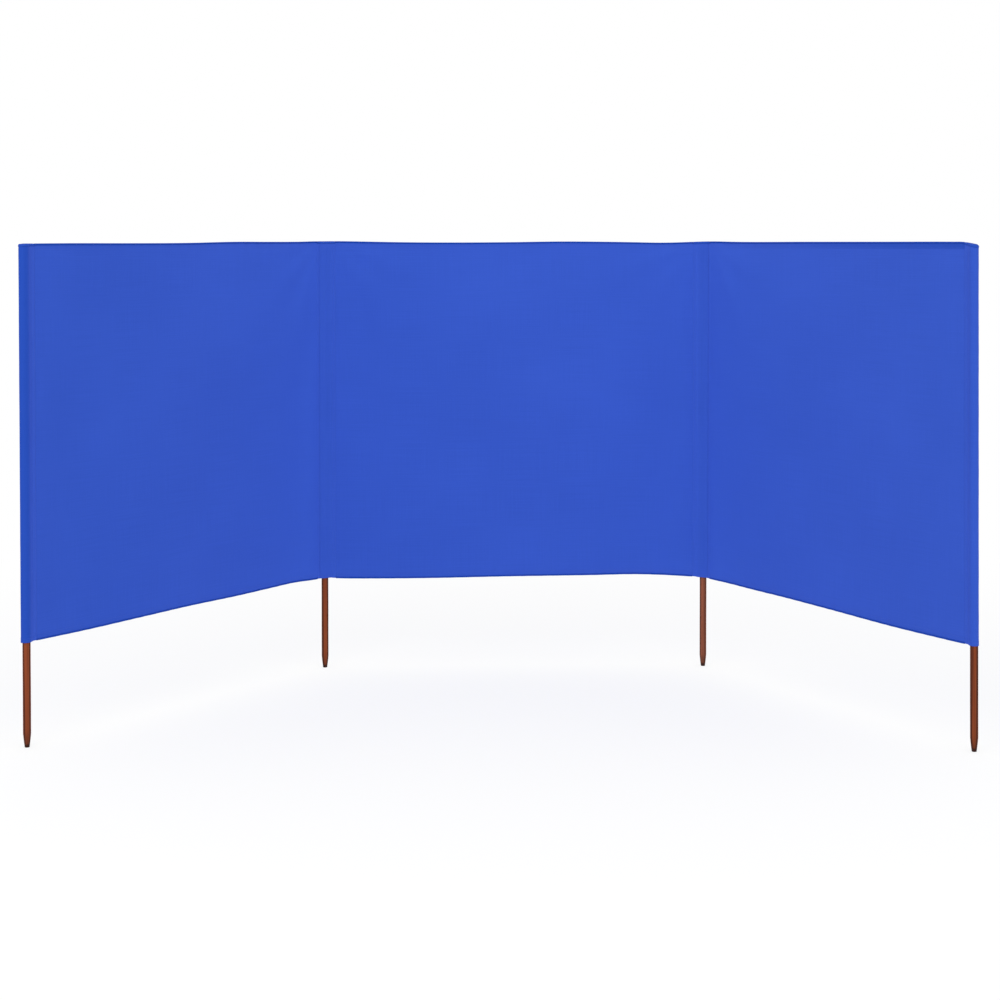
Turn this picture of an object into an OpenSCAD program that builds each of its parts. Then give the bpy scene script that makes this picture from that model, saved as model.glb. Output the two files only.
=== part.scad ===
// Beach windbreak: three bays of plain cloth carried by four round wooden poles.
// Each pole stands in a sewn sleeve that is closed at the top and open at the bottom,
// and its tapered tip goes into the sand. The outer bays swing round the inner poles.
//
// Millimetres, +Z up. The origin is the flat tip of the left inner pole, +X runs along
// the middle bay to the right inner pole, and the wings come forward to -Y.

/* [Layout] */
// Distance between the axes of neighbouring poles
pole_pitch = 1333; // [900:1:1800]
// Turn of the left wing to the front, from straight, in degrees
left_wing_turn = 52.5; // [0:0.1:118]
// Turn of the right wing to the front, from straight, in degrees
right_wing_turn = 60.3; // [0:0.1:118]

/* [Poles] */
// Diameter of the round pole
pole_d = 24; // [18:0.5:40]
// Length of the pole from its tip to its top end
pole_len = 1495; // [1200:1:2000]
// Length of the tapered tip
tip_len = 40; // [20:1:80]
// Diameter of the flat end of the tip
tip_d = 15; // [4:0.5:18]
// Chamfer round the top end
top_chamfer = 1.5; // [0.5:0.5:4]

/* [Cloth] */
// Thickness of one layer of cloth
cloth_t = 1.2; // [0.6:0.1:2]
// Length of the sleeve along the pole, from its open mouth to the pole's top end
sleeve_len = 1180; // [800:1:1195]
// Slack of the sleeve all round the pole
sleeve_ease = 0.8; // [0.3:0.1:3]
// Distance from the pole's surface to the line where the sleeve's two layers meet
seam_reach = 14; // [10:0.5:30]
// Width of the sewn seam, from that line to the single cloth of the panel
seam_w = 12; // [6:0.5:25]
// Width of the folded hem along the top and bottom edges
hem_w = 20; // [10:0.5:40]
// Drop of the top hem's edge below the closed top of the sleeves
top_drop = 3; // [3:0.5:30]
// Rise of the bottom hem's edge above the sleeves' open mouths
bottom_rise = 0; // [0:0.5:30]
// Gap between a wing's inner edge and the sleeve it swings round
hinge_gap = 0.3; // [0.2:0.1:2]

/* [Hidden] */
$fn = 64;
cloth_blue = [0.216, 0.341, 0.773];
hem_blue = [0.19, 0.31, 0.73];
wood_brown = [0.50, 0.26, 0.16];

// The sleeve's round part hugs the pole, and its layers run off it at a tangent to the seam
sleeve_r_in = pole_d / 2 + sleeve_ease;
sleeve_r_out = sleeve_r_in + cloth_t;
seam_start = pole_d / 2 + seam_reach;
seam_end = seam_start + seam_w;
// The layers leave the round part a hair inside it, so that face and arc cross at a clean edge
foot_depth = 0.05;
// Where the outer faces of the two layers would meet: parallel to the inner faces, one layer out
seam_start_out = seam_start * (sleeve_r_out - foot_depth) / (sleeve_r_in - foot_depth);

sleeve_mouth_z = pole_len - sleeve_len;
cap_t = 2 * cloth_t;
cloth_top_z = pole_len + cap_t - top_drop;
cloth_bottom_z = sleeve_mouth_z + bottom_rise;

// A panel runs from seam to seam. A wing's inner edge stops at the sleeve that it swings round
middle_from = seam_end;
middle_to = pole_pitch - seam_end;
wing_from = sleeve_r_out + hinge_gap;
wing_to = pole_pitch - seam_end;

// Places. A bay lies along +X from its inner pole, with its hems on the +Y side
module in_left_wing() { rotate([0, 0, left_wing_turn]) mirror([1, 0, 0]) children(); }
module in_right_wing() { translate([pole_pitch, 0, 0]) rotate([0, 0, -right_wing_turn]) children(); }
module at_far_pole() { translate([pole_pitch, 0, 0]) mirror([1, 0, 0]) children(); }

// Round pole with a tapered tip, turned about its own axis
module pole() {
    rotate_extrude()
        polygon([
            [0, 0],
            [tip_d / 2, 0],
            [pole_d / 2, tip_len],
            [pole_d / 2, pole_len - top_chamfer],
            [pole_d / 2 - top_chamfer, pole_len],
            [0, pole_len]
        ]);
}

// A circle with two straight sides that run off it, all but tangent, and meet at reach on +X
module teardrop(r, reach) {
    foot_r = r - foot_depth;
    touch = acos(foot_r / reach);
    circle(r);
    polygon([
        [0, 0],
        [foot_r * cos(touch), -foot_r * sin(touch)],
        [reach, 0],
        [foot_r * cos(touch), foot_r * sin(touch)]
    ]);
}

// Outline of the sleeve seen from above: round the pole, along the tangents and out along the seam
module sleeve_outline() {
    teardrop(sleeve_r_out, seam_start_out);
    translate([seam_start, -cloth_t]) square([seam_w, 2 * cloth_t]);
}

// Two-layer sleeve, open below, with the pole's pocket inside it
module sleeve() {
    translate([0, 0, sleeve_mouth_z])
        linear_extrude(sleeve_len)
            difference() {
                sleeve_outline();
                teardrop(sleeve_r_in, seam_start);
            }
}

// Doubled flap that closes the sleeve over the pole's top end
module sleeve_cap() {
    translate([0, 0, pole_len]) linear_extrude(cap_t) sleeve_outline();
}

// Single cloth of one bay, between the folds of its two hems
module panel(from, to) {
    translate([from, -cloth_t / 2, cloth_bottom_z + cloth_t])
        cube([to - from, cloth_t, cloth_top_z - cloth_bottom_z - 2 * cloth_t]);
}

// Hem in section: the fold rolls over the cloth's edge and comes down behind it by hem_w.
// Local X is the way through the cloth, local Y is up, and the fold's centre is at the origin
module hem_section() {
    intersection() {
        circle(cloth_t);
        translate([-cloth_t, 0]) square([2 * cloth_t, cloth_t]);
    }
    translate([0, cloth_t - hem_w]) square([cloth_t, hem_w - cloth_t]);
}

// Hem section carried along a bay, with its fold's centre at height z
module hem(from, to, z) {
    translate([from, cloth_t / 2, z])
        rotate([90, 0, 90])
            linear_extrude(to - from) hem_section();
}

module top_hem(from, to) { hem(from, to, cloth_top_z - cloth_t); }
module bottom_hem(from, to) {
    translate([0, 0, cloth_bottom_z + cloth_t]) mirror([0, 0, 1]) hem(from, to, 0);
}

// Poles
module left_end_pole() { color(wood_brown) in_left_wing() at_far_pole() pole(); }
module left_inner_pole() { color(wood_brown) pole(); }
module right_inner_pole() { color(wood_brown) at_far_pole() pole(); }
module right_end_pole() { color(wood_brown) in_right_wing() at_far_pole() pole(); }

// Sleeves
module left_end_sleeve() { color(cloth_blue) in_left_wing() at_far_pole() sleeve(); }
module left_inner_sleeve() { color(cloth_blue) sleeve(); }
module right_inner_sleeve() { color(cloth_blue) at_far_pole() sleeve(); }
module right_end_sleeve() { color(cloth_blue) in_right_wing() at_far_pole() sleeve(); }

// Closed tops of the sleeves
module left_end_cap() { color(hem_blue) in_left_wing() at_far_pole() sleeve_cap(); }
module left_inner_cap() { color(hem_blue) sleeve_cap(); }
module right_inner_cap() { color(hem_blue) at_far_pole() sleeve_cap(); }
module right_end_cap() { color(hem_blue) in_right_wing() at_far_pole() sleeve_cap(); }

// Panels
module left_panel() { color(cloth_blue) in_left_wing() panel(wing_from, wing_to); }
module middle_panel() { color(cloth_blue) panel(middle_from, middle_to); }
module right_panel() { color(cloth_blue) in_right_wing() panel(wing_from, wing_to); }

// Hems
module left_top_hem() { color(hem_blue) in_left_wing() top_hem(wing_from, wing_to); }
module middle_top_hem() { color(hem_blue) top_hem(middle_from, middle_to); }
module right_top_hem() { color(hem_blue) in_right_wing() top_hem(wing_from, wing_to); }
module left_bottom_hem() { color(hem_blue) in_left_wing() bottom_hem(wing_from, wing_to); }
module middle_bottom_hem() { color(hem_blue) bottom_hem(middle_from, middle_to); }
module right_bottom_hem() { color(hem_blue) in_right_wing() bottom_hem(wing_from, wing_to); }

left_end_pole();
left_inner_pole();
right_inner_pole();
right_end_pole();
left_end_sleeve();
left_inner_sleeve();
right_inner_sleeve();
right_end_sleeve();
left_end_cap();
left_inner_cap();
right_inner_cap();
right_end_cap();
left_panel();
middle_panel();
right_panel();
left_top_hem();
middle_top_hem();
right_top_hem();
left_bottom_hem();
middle_bottom_hem();
right_bottom_hem();
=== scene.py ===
# %% [markdown]
# # A beach windbreak
# Three bays of plain blue cloth hang between four round wooden poles. Each pole stands in a
# sewn sleeve, and the two outer bays swing round the inner poles to make a shelter. The model
# that carries the sizes and the joints is loaded first. Everything made here is laid on it, in
# metres, so that nothing has to be fitted afterwards.

# %% Load the frame and keep its box
import math
from collections import namedtuple

import bpy
import numpy as np
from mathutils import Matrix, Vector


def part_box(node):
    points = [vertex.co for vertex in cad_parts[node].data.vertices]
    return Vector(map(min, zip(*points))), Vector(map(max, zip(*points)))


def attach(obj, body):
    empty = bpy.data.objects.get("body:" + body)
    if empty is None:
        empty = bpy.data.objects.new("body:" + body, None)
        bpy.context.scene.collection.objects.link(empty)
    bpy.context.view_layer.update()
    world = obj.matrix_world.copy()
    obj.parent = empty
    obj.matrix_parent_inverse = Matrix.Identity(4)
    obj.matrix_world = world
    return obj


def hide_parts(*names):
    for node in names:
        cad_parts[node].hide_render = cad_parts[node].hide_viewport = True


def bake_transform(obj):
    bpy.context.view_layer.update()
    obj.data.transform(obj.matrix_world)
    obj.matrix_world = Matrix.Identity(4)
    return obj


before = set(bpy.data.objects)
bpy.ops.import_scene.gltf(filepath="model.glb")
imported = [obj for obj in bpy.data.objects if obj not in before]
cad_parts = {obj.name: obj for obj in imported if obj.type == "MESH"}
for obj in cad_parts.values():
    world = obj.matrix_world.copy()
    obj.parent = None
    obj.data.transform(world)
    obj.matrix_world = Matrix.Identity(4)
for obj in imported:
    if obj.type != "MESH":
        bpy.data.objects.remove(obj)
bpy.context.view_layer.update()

# %% [markdown]
# ## Sizes
# A maker would take a tape to the real screen. Here the tape is the frame: the box of each node
# gives the pole's radius, the heights of the cloth and where the seams lie. Only what no box
# can tell, such as the width of a sewn seam, is written as a number.

# %% Sizes read from the frame
POLES = ("left_end", "left_inner", "right_inner", "right_end")
SEAM_W = 0.012


def node_box(node):
    """Lowest and highest corner of a node, as arrays."""
    low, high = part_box(node)
    return np.array(low, float), np.array(high, float)


def axis_of(pole):
    """The pole's axis seen from above: the middle of its box."""
    low, high = node_box(pole + "_pole")
    return (low[:2] + high[:2]) / 2


AXIS = {pole: axis_of(pole) for pole in POLES}
pole_low, pole_high = node_box("left_inner_pole")
POLE_R = (pole_high[0] - pole_low[0]) / 2
POLE_TOP = pole_high[2]
PITCH = np.linalg.norm(AXIS["right_inner"] - AXIS["left_inner"])
MOUTH_Z = node_box("left_inner_sleeve")[0][2]
EDGE_TOP = node_box("middle_top_hem")[1][2]
EDGE_BOTTOM = node_box("middle_bottom_hem")[0][2]
CLOTH_H = EDGE_TOP - EDGE_BOTTOM
HEM_W = EDGE_TOP - node_box("middle_top_hem")[0][2]
CLOTH_T = np.ptp([corner[1] for corner in node_box("middle_panel")])
SEAM_END = node_box("middle_panel")[0][0] - AXIS["left_inner"][0]
SEAM_START = SEAM_END - SEAM_W
SLEEVE_R = node_box("left_inner_sleeve")[1][1] - CLOTH_T / 2
print(f"pole radius {POLE_R:.4f}, pitch {PITCH:.3f}, cloth {EDGE_BOTTOM:.3f} to {EDGE_TOP:.3f} m")

# %% [markdown]
# ## Bays
# A bay is the cloth between two poles. All three bays are the same piece of sewing, so each gets
# a little frame of its own: `along` runs from its first pole to its second, and `back` points
# away from the sheltered side. The cloth is then worked out once, in a bay's own frame. Poles in
# sand are never quite plumb: in the photograph the right end pole leans in by about 0.4 degree,
# so the right bay carries a small lean that grows with the height and along the bay.

# %% The three bays
Bay = namedtuple("Bay", "name body origin along back lean seed")
PLUMB = (0.0, 0.0)
RIGHT_LEAN = (-0.0065, 0.0)
LEAN_FROM = 0.2
shelter_middle = np.mean([AXIS[pole] for pole in POLES], axis=0)


def bay_between(name, body, first, second, lean, seed):
    """A bay from one pole to the next; back is square to it, away from the shelter's middle."""
    along = (AXIS[second] - AXIS[first]) / PITCH
    back = np.array([-along[1], along[0]])
    back *= np.sign(back @ ((AXIS[first] + AXIS[second]) / 2 - shelter_middle))
    return Bay(name, body, AXIS[first], along, back, np.array(lean), seed)


LEFT = bay_between("left", "left_wing", "left_inner", "left_end", PLUMB, 11)
MIDDLE = bay_between("middle", "middle", "left_inner", "right_inner", PLUMB, 23)
RIGHT = bay_between("right", "right_wing", "right_inner", "right_end", RIGHT_LEAN, 37)
BAYS = (LEFT, MIDDLE, RIGHT)
END_BAY = {"left_end": LEFT, "right_end": RIGHT}
INNER_WING = {"left_inner": LEFT, "right_inner": RIGHT}


def leaning(bay, u, z):
    """How far the bay's lean moves a point in plan: by its height and its share of the bay."""
    share = np.clip(u / PITCH, 0, 1)
    return ((z - LEAN_FROM) * share)[..., None] * bay.lean


def place(bay, u, y, z):
    """u along the bay, y out of its back and z up, as points in the frame."""
    u, y, z = np.broadcast_arrays(u, y, z)
    plan = bay.origin + u[..., None] * bay.along + y[..., None] * bay.back
    return np.concatenate([plan + leaning(bay, u, z), z[..., None]], axis=-1)


for bay in BAYS:
    print(bay.name, "runs along", bay.along.round(3), "with its back to", bay.back.round(3))

# %% [markdown]
# ## Camera
# The photograph looks straight at the middle bay from a little above the cloth's top edge, with
# a short telephoto. The lens and the place were fitted to the tops and tips of the four poles.
# The picture's horizon is high in the frame, so the lens is shifted down. A small tilt takes the
# rest, which keeps the shift small enough for the views from other sides.

# %% The photograph's camera
CAMERA_AT = (0.489, -6.902, 1.538)
CAMERA_TILT = 1.5
CAMERA_PAN = -1.053
FOCAL_SHARE = 1.9676
LENS_SHIFT = -0.2182
SENSOR_W = 36.0

camera_data = bpy.data.cameras.new("photo_camera")
camera_data.sensor_width = SENSOR_W
camera_data.lens = FOCAL_SHARE * SENSOR_W
camera_data.shift_y = LENS_SHIFT
camera = bpy.data.objects.new("photo_camera", camera_data)
camera.location = CAMERA_AT
camera.rotation_euler = (math.radians(90 - CAMERA_TILT), 0, math.radians(CAMERA_PAN))
bpy.context.collection.objects.link(camera)
bpy.context.scene.camera = camera
bpy.context.scene.view_settings.view_transform = "Standard"
print(f"lens {camera_data.lens:.1f} mm at {CAMERA_AT}")

# %% [markdown]
# ## Shader arithmetic
# A finish is a sum of small patterns: threads, slubs, a broad fade. Node trees for such sums are
# long to write link by link, so one small class wraps an output socket and lets Python's own
# operators add the Math nodes. One method, `node`, adds any other node, and the short methods
# after it are the few nodes that every finish needs.


# %% A socket that does arithmetic
class Wire:
    """An output socket of a shader tree. Arithmetic on it adds Math nodes to the tree."""

    def __init__(self, tree, socket=None):
        self.tree = tree
        self.socket = socket

    def node(self, kind, settings=None, inputs=None, output=0):
        """Adds a node: its settings first, then its inputs, where a Wire is linked."""
        made = self.tree.nodes.new(kind)
        for name, value in (settings or {}).items():
            if name == "stops":
                self.set_stops(made.color_ramp, value)
            else:
                setattr(made, name, value)
        for name, value in (inputs or {}).items():
            if isinstance(value, Wire):
                self.tree.links.new(value.socket, made.inputs[name])
            else:
                made.inputs[name].default_value = value
        return Wire(self.tree, made.outputs[output] if len(made.outputs) else None)

    @staticmethod
    def set_stops(ramp, stops):
        """Gives a colour ramp its (place, colour) stops."""
        while len(ramp.elements) < len(stops):
            ramp.elements.new(1.0)
        for element, (place_on_ramp, colour) in zip(ramp.elements, stops):
            element.position = place_on_ramp
            element.color = colour

    def math(self, operation, *values):
        """One Math node on these values."""
        return self.node("ShaderNodeMath", {"operation": operation}, dict(enumerate(values)))

    def mix(self, first, second):
        """A colour from first to second by this value.

        A Mix node has its factor at socket 0, its colours at 6 and 7 and their mix at output 2.
        """
        sockets = {0: self, 6: first, 7: second}
        return self.node("ShaderNodeMix", {"data_type": "RGBA"}, sockets, output=2)

    def step(self, low, high):
        """0 below low, 1 above high and smooth between."""
        return self.node(
            "ShaderNodeMapRange",
            {"interpolation_type": "SMOOTHSTEP"},
            {"Value": self, "From Min": low, "From Max": high},
        )

    def noise(self, scale, detail, roughness=0.5, distortion=0.0, stretch=None):
        """Cloudy noise on this vector, which is stretched first where it says how."""
        vector = self
        if stretch is not None:
            vector = self.node("ShaderNodeMapping", None, {"Vector": self, "Scale": stretch})
        sockets = {
            "Vector": vector,
            "Scale": scale,
            "Detail": detail,
            "Roughness": roughness,
            "Distortion": distortion,
        }
        return self.node("ShaderNodeTexNoise", None, sockets)

    def part(self, axis):
        """One coordinate of this vector: X, Y or Z."""
        return self.node("ShaderNodeSeparateXYZ", None, {"Vector": self}, axis)

    def at_most(self, limit):
        """This value, or the limit where that is less."""
        return self.math("MINIMUM", self, limit)

    def sine(self):
        """The sine of this value."""
        return self.math("SINE", self)

    def __add__(self, other):
        return self.math("ADD", self, other)

    def __radd__(self, other):
        return self.math("ADD", other, self)

    def __sub__(self, other):
        return self.math("SUBTRACT", self, other)

    def __rsub__(self, other):
        return self.math("SUBTRACT", other, self)

    def __mul__(self, other):
        return self.math("MULTIPLY", self, other)

    def __rmul__(self, other):
        return self.math("MULTIPLY", other, self)


WHITE = (1.0, 1.0, 1.0, 1.0)
print("Wire adds, subtracts and multiplies sockets")


# %% A material and its surface
def new_finish(name):
    """A material with an empty tree, and a Wire that adds nodes to it."""
    material = bpy.data.materials.new(name)
    material.use_nodes = True
    material.node_tree.nodes.clear()
    return material, Wire(material.node_tree)


def surface(wire, inputs):
    """Ends a tree in a Principled shader with these inputs."""
    shader = wire.node("ShaderNodeBsdfPrincipled", None, inputs, "BSDF")
    wire.node("ShaderNodeOutputMaterial", None, {"Surface": shader})


def attribute_of(wire, name):
    """A number that each point of a piece carries under that name."""
    return wire.node("ShaderNodeAttribute", {"attribute_name": name}, output="Fac")


def bumps(wire, height, strength, distance):
    """Normals tilted by a height that varies over the surface."""
    sockets = {"Height": height, "Strength": strength, "Distance": distance}
    return wire.node("ShaderNodeBump", None, sockets)


print("helpers: new_finish, surface, attribute_of, bumps")

# %% [markdown]
# ## Cloth finish
# The cloth is a matt plain weave in one mid blue. Close to, warp and weft cross about every
# millimetre and some threads are thicker than others, which draws faint level streaks. Further
# off the blue drifts a little. Where the cloth lies double or over a pole, shade is painted in as
# a deeper blue, for the light that comes through one layer less, and in the corners light is
# painted in as a paler blue. A picture of cloth could be wrapped on, but a weave worked out from
# the cut of the cloth stays sharp at any size and follows every fold.

# %% Woven cloth
CLOTH_PALE = (0.0383, 0.1008, 0.554, 1.0)
CLOTH_DARK = (0.0324, 0.0878, 0.500, 1.0)
# Painted shade and painted light: the blues that a piece's layers value mixes in
PAINTED_SHADE_BLUE = (0.0045, 0.0490, 0.360, 1.0)
PAINTED_LIGHT_BLUE = (0.0470, 0.1260, 0.655, 1.0)
THREAD_PITCH = 0.0011
WEFT_STRETCH = (5.0, 380.0, 1.0)
WARP_STRETCH = (420.0, 6.0, 1.0)
MATT = 0.10


def woven_cloth(name):
    """Plain weave on the cut map: over-and-under bumps, level slubs, a broad drift of colour.

    The piece's layers value paints shade in, taking the cloth over to a deeper blue,
    and, below zero, paints light in, taking it over to a paler one.
    """
    material, wire = new_finish(name)
    cut = wire.node("ShaderNodeUVMap", {"uv_map": "cut"})
    turn = 2 * math.pi / THREAD_PITCH
    weave = (cut.part("X") * turn).sine() * (cut.part("Y") * turn).sine()
    slub = cut.noise(1.0, 2.0, stretch=WEFT_STRETCH)
    warp = cut.noise(1.0, 2.0, stretch=WARP_STRETCH)
    drift = cut.noise(2.3, 3.0, roughness=0.45)
    handled = cut.noise(17.0, 4.0, roughness=0.6)

    layers = attribute_of(wire, "layers")
    pale = 0.5 + (slub - 0.5) * 0.9 + (warp - 0.5) * 0.7 + (drift - 0.5) * 0.9 + weave * 0.12
    tone = pale.step(0.0, 1.0).mix(CLOTH_DARK, CLOTH_PALE)
    lit = (-1 * layers).mix(tone, PAINTED_LIGHT_BLUE)
    relief = weave * 0.35 + slub * 0.5 + warp * 0.4 + handled * 0.5
    surface(wire, {
        "Base Color": layers.mix(lit, PAINTED_SHADE_BLUE),
        "Roughness": 0.86 + (handled - 0.5) * 0.12,
        "Normal": bumps(wire, relief, strength=0.16, distance=0.0012),
        "Sheen Weight": 0.012,
        "Sheen Roughness": 0.6,
        "Specular IOR Level": MATT,
    })
    return material


cloth_finish = woven_cloth("blue_cloth")
hem_finish = woven_cloth("blue_hem")
print("finishes:", cloth_finish.name, hem_finish.name)

# %% [markdown]
# ## Wood finish
# The poles are softwood dowels stained a red brown. Stain sinks deeper into the soft stripes of
# the grain, so the pole shows dark streaks along its length, and the end grain at the tip drinks
# most of it. Noise that is stretched along the pole gives the streaks without any picture. Two
# values that each pole's points carry add the rest: how far the wood has faded, and where dark
# runs lie, of staining and, beside each pole's lit face, of painted shade.

# %% Stained wood and sewing thread
GRAIN_STOPS = (
    (0.0, (0.064, 0.013, 0.006, 1)),
    (0.42, (0.220, 0.046, 0.014, 1)),
    (1.0, (0.322, 0.077, 0.025, 1)),
)
FADED_WOOD = (0.250, 0.103, 0.068, 1)
# Dark runs of staining, and of painted shade beside each pole's lit face
STAIN_AND_SHADE_RUN = (0.036, 0.007, 0.003, 1)
SOILED_TIP = (0.028, 0.009, 0.006, 1)
FINE_GRAIN = (420.0, 420.0, 5.0)
BROAD_GRAIN = (85.0, 85.0, 1.3)
THREAD_DARK = (0.028, 0.074, 0.46, 1)
THREAD_PALE = (0.040, 0.100, 0.58, 1)


def stained_wood():
    """Streaks along Z from two stretched noises, dull gloss, and dark, dirty wood at the tip."""
    material, wire = new_finish("stained_wood")
    coordinates = wire.node("ShaderNodeTexCoord", output="Object")
    height = coordinates.part("Z")
    fine = coordinates.noise(1.0, 4.0, stretch=FINE_GRAIN)
    broad = coordinates.noise(1.0, 3.0, distortion=0.6, stretch=BROAD_GRAIN)
    worn = coordinates.noise(24.0, 5.0)

    grain = (fine * 0.55 + broad * 0.75 - 0.15).step(0.22, 0.78)
    streaks = wire.node("ShaderNodeValToRGB", {"stops": GRAIN_STOPS}, {"Fac": grain})
    greyed = (attribute_of(wire, "faded") * 0.55).mix(streaks, FADED_WOOD)
    # Staining runs, and runs of painted shade beside each pole's lit face
    stained_and_shaded = (attribute_of(wire, "stain") * 0.92).mix(greyed, STAIN_AND_SHADE_RUN)
    soiled = (1 - (height + (worn - 0.5) * 0.05).step(0.002, 0.055)) * 0.45
    soaked = 1 - (height + (worn - 0.5) * 0.006).step(0.005, 0.015)
    tip = (soiled + soaked * 0.6).at_most(0.95)
    surface(wire, {
        "Base Color": tip.mix(stained_and_shaded, SOILED_TIP),
        "Roughness": 0.52 + (worn - 0.5) * 0.25 + (fine - 0.5) * 0.2,
        "Normal": bumps(wire, fine * 0.6 + broad * 0.4, strength=0.25, distance=0.0006),
        "Specular IOR Level": MATT,
    })
    return material


def sewing_thread():
    """Blue thread a shade off the cloth, with the twist of its strands along its length."""
    material, wire = new_finish("sewing_thread")
    twist = wire.node("ShaderNodeTexCoord", output="Object").noise(900.0, 2.0)
    surface(wire, {"Base Color": twist.mix(THREAD_DARK, THREAD_PALE), "Roughness": 0.62})
    return material


wood_finish = stained_wood()
thread_finish = sewing_thread()
print("finishes:", wood_finish.name, thread_finish.name)

# %% [markdown]
# ## From arrays to meshes
# Every piece is worked out as whole arrays of points. Two helpers turn them into meshes: one
# takes points and faces, the other takes a grid of points on the middle of a cloth and gives it
# thickness, with a front, a back and a rim all round, so that the sheet is closed.


# %% Points and faces to an object
def make_piece(name, points, quads, material, cut=None, values=None, triangles=()):
    """A smooth mesh from points, four-sided faces and triangles, with its cut map and values."""
    points = np.asarray(points, np.float32).reshape(-1, 3)
    corners = np.concatenate([np.ravel(quads), np.ravel(triangles)]).astype(np.int32)
    sizes = np.repeat([4, 3], [len(quads), len(triangles)]).astype(np.int32)
    starts = (np.cumsum(sizes) - sizes).astype(np.int32)

    mesh = bpy.data.meshes.new(name)
    mesh.vertices.add(len(points))
    mesh.vertices.foreach_set("co", points.ravel())
    mesh.loops.add(len(corners))
    mesh.loops.foreach_set("vertex_index", corners)
    mesh.polygons.add(len(sizes))
    mesh.polygons.foreach_set("loop_start", starts)
    mesh.update(calc_edges=True)
    mesh.polygons.foreach_set("use_smooth", np.ones(len(sizes), bool))
    if cut is not None:
        layer = mesh.uv_layers.new(name="cut")
        flat = np.asarray(cut, np.float32).reshape(-1, 2)[corners]
        layer.data.foreach_set("uv", flat.ravel())
    for value_name, value in (values or {}).items():
        attribute = mesh.attributes.new(value_name, "FLOAT", "POINT")
        attribute.data.foreach_set("value", np.asarray(value, np.float32).ravel())
    mesh.validate()
    mesh.materials.append(material)
    piece = bpy.data.objects.new(name, mesh)
    bpy.context.collection.objects.link(piece)
    return piece


print("make_piece turns arrays into a piece")


# %% A closed sheet round a grid of points
def unit(vectors):
    """The same directions, each one long."""
    return vectors / np.linalg.norm(vectors, axis=-1, keepdims=True)


def grid_normals(grid):
    """Unit normals of a grid: the cross product of its two directions."""
    return unit(np.cross(np.gradient(grid, axis=1), np.gradient(grid, axis=0)))


def closed_sheet(grid, thickness, cut, layers):
    """Front and back of a sheet, half its thickness off the grid each way, joined by a rim.

    Returns points, quads, the cut map and the layers value, ready to be joined or made
    a piece.
    """
    rows, columns = grid.shape[:2]
    half = (np.broadcast_to(thickness, (rows, columns)) / 2)[..., None]
    off = grid_normals(grid) * half
    points = np.concatenate([(grid + off).reshape(-1, 3), (grid - off).reshape(-1, 3)])
    front = np.arange(rows * columns).reshape(rows, columns)
    back = front + rows * columns

    def band(*corners):
        """Four-sided faces from four arrays of corners."""
        return np.stack(corners, axis=-1).reshape(-1, 4)

    quads = np.concatenate([
        band(front[:-1, :-1], front[:-1, 1:], front[1:, 1:], front[1:, :-1]),
        band(back[:-1, :-1], back[1:, :-1], back[1:, 1:], back[:-1, 1:]),
        band(front[0, :-1], back[0, :-1], back[0, 1:], front[0, 1:]),
        band(front[-1, 1:], back[-1, 1:], back[-1, :-1], front[-1, :-1]),
        band(front[1:, 0], back[1:, 0], back[:-1, 0], front[:-1, 0]),
        band(front[:-1, -1], back[:-1, -1], back[1:, -1], front[1:, -1]),
    ])
    cut = np.tile(np.asarray(cut).reshape(-1, 2), (2, 1))
    layers = np.tile(np.broadcast_to(layers, (rows, columns)).reshape(-1), 2)
    return points, quads, cut, layers


def sheet_piece(name, sheets, material):
    """One piece from one or more closed sheets, each one's faces counted on from the last."""
    points, quads, cuts, layers = zip(*sheets)
    shifts = np.cumsum([0] + [len(sheet_points) for sheet_points in points[:-1]])
    faces = np.concatenate([sheet + shift for sheet, shift in zip(quads, shifts)])
    values = {"layers": np.concatenate(layers)}
    return make_piece(name, np.concatenate(points), faces, material, np.concatenate(cuts), values)


def smooth_step(value, low, high):
    """0 below low, 1 above high, with a smooth rise between."""
    share = np.clip((value - low) / (high - low), 0, 1)
    return share * share * (3 - 2 * share)


print("helpers: closed_sheet, sheet_piece, smooth_step")

# %% [markdown]
# ## How the cloth hangs
# The cloth is held along both poles and free along its top and bottom edges. Between them it
# bellies a little away from the shelter, its own weight draws shallow folds in the shape of a
# smile from pole to pole, small pulls fan out of the top corners, and the seams pucker it. A
# cloth simulation could find such a shape, but on so taut a sheet it settles almost flat, so
# each cause is written as a term of one function. The same function then places the panel, its
# hems and its stitches, so they can't come apart. The lines of the two edges come first: knots
# of a share of the bay and of millimetres over the frame's edge, taken from the photograph.

# %% The lines of the hems
TOP_LINE = {
    "left": (
        (0, 3.7), (0.04, 3.8), (0.1, 2.8), (0.2, 3.0), (0.32, 4.0),
        (0.5, 1.4), (0.7, 1.9), (0.85, 3.1), (1, 3.1),
    ),
    "middle": (
        (0, 3.7), (0.03, 4.1), (0.1, 2.9), (0.16, 1.3), (0.5, 0.7),
        (0.61, 2.8), (0.8, 0.7), (0.89, -1.2), (1, 2.9),
    ),
    "right": (
        (0, 2.9), (0.04, 3.5), (0.14, 2.5), (0.4, 4.4), (0.7, 6.6),
        (0.94, 8.4), (0.963, 8.4), (0.985, 5.8), (1, 2.6),
    ),
}
BOTTOM_LINE = {
    "left": (
        (0, 2.4), (0.05, 3.6), (0.11, 6.3), (0.2, 3.8), (0.3, 1.2),
        (0.5, 1.8), (0.65, -0.3), (0.9, -2.6), (1, -0.5),
    ),
    "middle": (
        (0, 2.4), (0.03, 0.6), (0.1, -0.7), (0.27, -1.8), (0.5, 2.0),
        (0.7, 5.6), (0.83, 9.3), (0.9, 7.2), (1, 0.5),
    ),
    "right": (
        (0, 0.5), (0.2, -2.2), (0.35, -1.3), (0.5, -2.8), (0.75, -7.3),
        (0.9, -4.6), (1, -0.6),
    ),
}


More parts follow.
